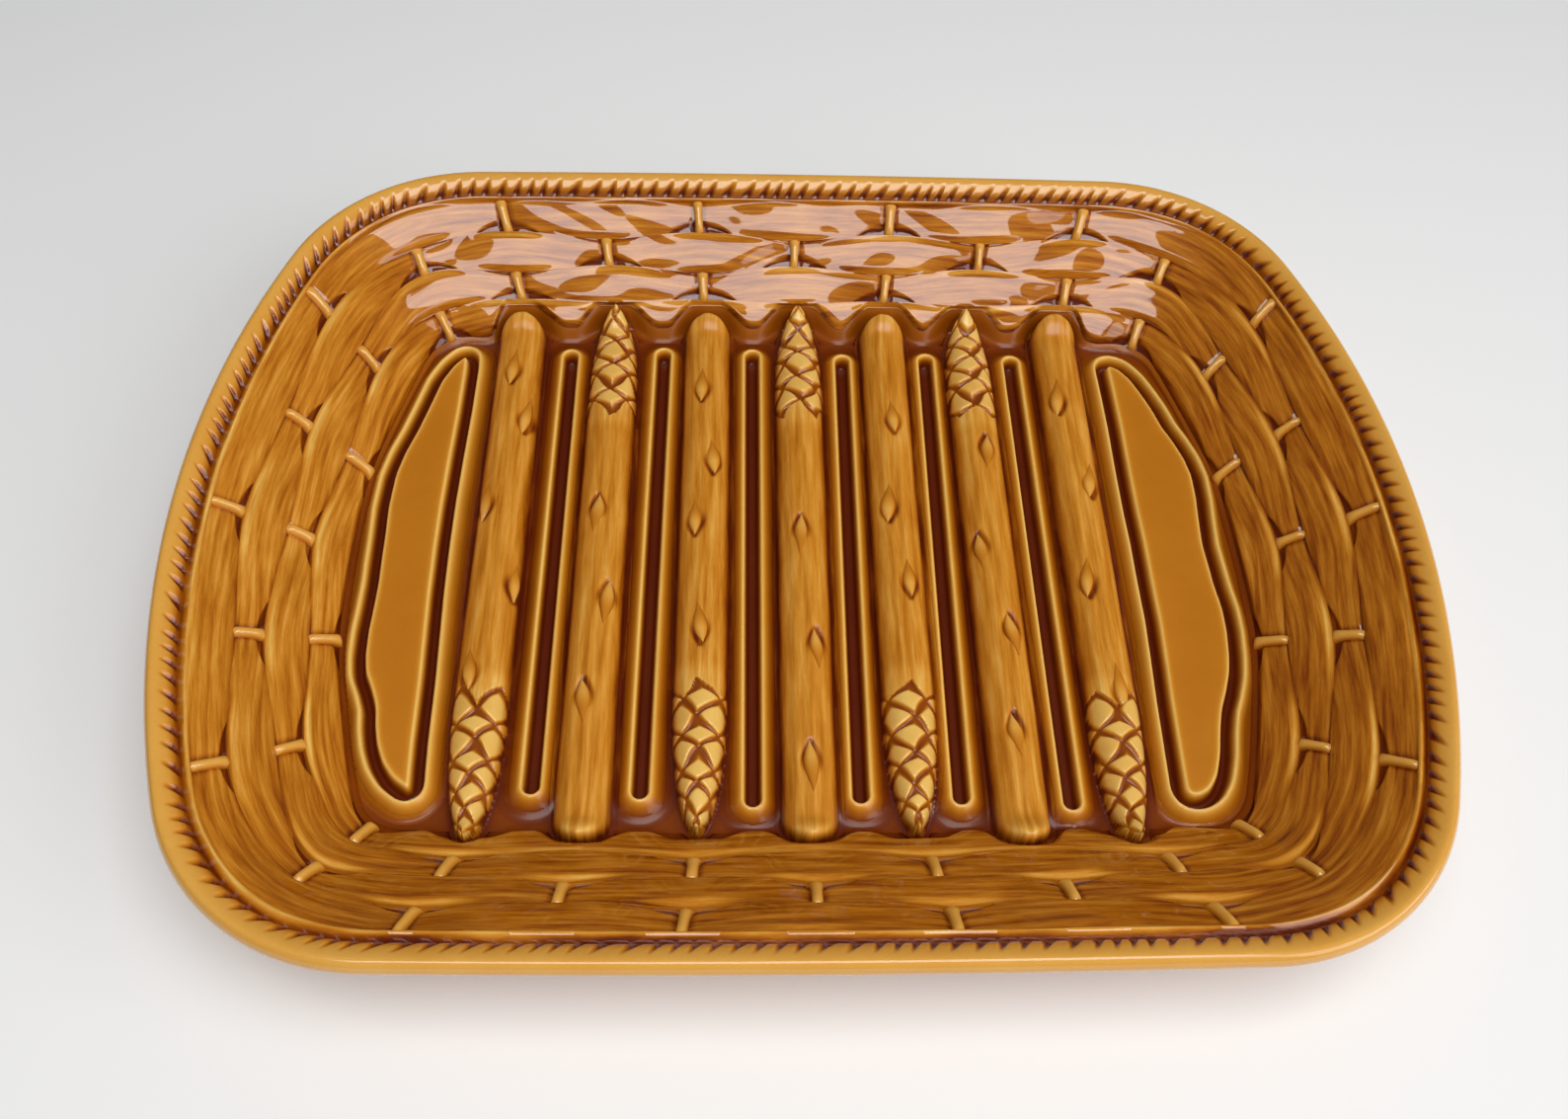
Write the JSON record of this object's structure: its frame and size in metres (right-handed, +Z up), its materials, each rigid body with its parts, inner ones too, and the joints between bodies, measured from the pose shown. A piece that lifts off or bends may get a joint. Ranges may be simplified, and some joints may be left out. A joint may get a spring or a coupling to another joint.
{
  "type": "asparagus plate",
  "caption": "Oblong glazed earthenware dish with a roped rim, a basket-weave wall and moulded asparagus spears between drain slots on its floor.",
  "frame": {"origin": "middle of the plate, on the surface that its foot ring stands on", "axes": "+X along the plate's length, +Y towards the side where the butts of the outer spears lie, +Z up"},
  "size_m": [0.36, 0.28, 0.0427],
  "materials": {
    "glaze_body": "glossy transparent honey glaze over pale earthenware, dark where it pools",
    "glaze_rim": "glossy honey glaze, thin and yellow on the crest, brown in the rope notches",
    "glaze_weave": "glossy honey glaze with fine lengthwise streaks, thin along the strands edges",
    "glaze_stakes": "glossy thin yellow glaze on the raised stakes",
    "glaze_stems": "glossy honey glaze with fine lengthwise streaks",
    "glaze_tips": "glossy thin yellow glaze on the scales, brown between them",
    "glaze_slots": "glossy amber glaze, thin on the slot lips, nearly black brown pooled in the slots"
  },
  "bodies": {
    "root": {"dish_floor": "glaze_body", "dish_wall": "glaze_body", "rim_lip": "glaze_rim", "foot_ring": "glaze_body", "rope_border": "glaze_rim", "weave_row_1": "glaze_weave", "weave_row_2": "glaze_weave", "weave_row_3": "glaze_weave", "weave_row_4": "glaze_weave", "stakes_row_1": "glaze_stakes", "stakes_row_2": "glaze_stakes", "stakes_row_3": "glaze_stakes", "stakes_row_4": "glaze_stakes", "spear_stem_1": "glaze_stems", "spear_stem_2": "glaze_stems", "spear_stem_3": "glaze_stems", "spear_stem_4": "glaze_stems", "spear_stem_5": "glaze_stems", "spear_stem_6": "glaze_stems", "spear_stem_7": "glaze_stems", "spear_tip_1": "glaze_tips", "spear_tip_2": "glaze_tips", "spear_tip_3": "glaze_tips", "spear_tip_4": "glaze_tips", "spear_tip_5": "glaze_tips", "spear_tip_6": "glaze_tips", "spear_tip_7": "glaze_tips", "bracts_1": "glaze_stems", "bracts_2": "glaze_stems", "bracts_3": "glaze_stems", "bracts_4": "glaze_stems", "bracts_5": "glaze_stems", "bracts_6": "glaze_stems", "bracts_7": "glaze_stems", "slot_bar_1": "glaze_slots", "slot_bar_2": "glaze_slots", "slot_bar_3": "glaze_slots", "slot_bar_4": "glaze_slots", "slot_bar_5": "glaze_slots", "slot_bar_6": "glaze_slots", "groove_lip_left": "glaze_body", "groove_lip_right": "glaze_body", "plateau_left": "glaze_body", "plateau_right": "glaze_body"}
  },
  "joints": []
}
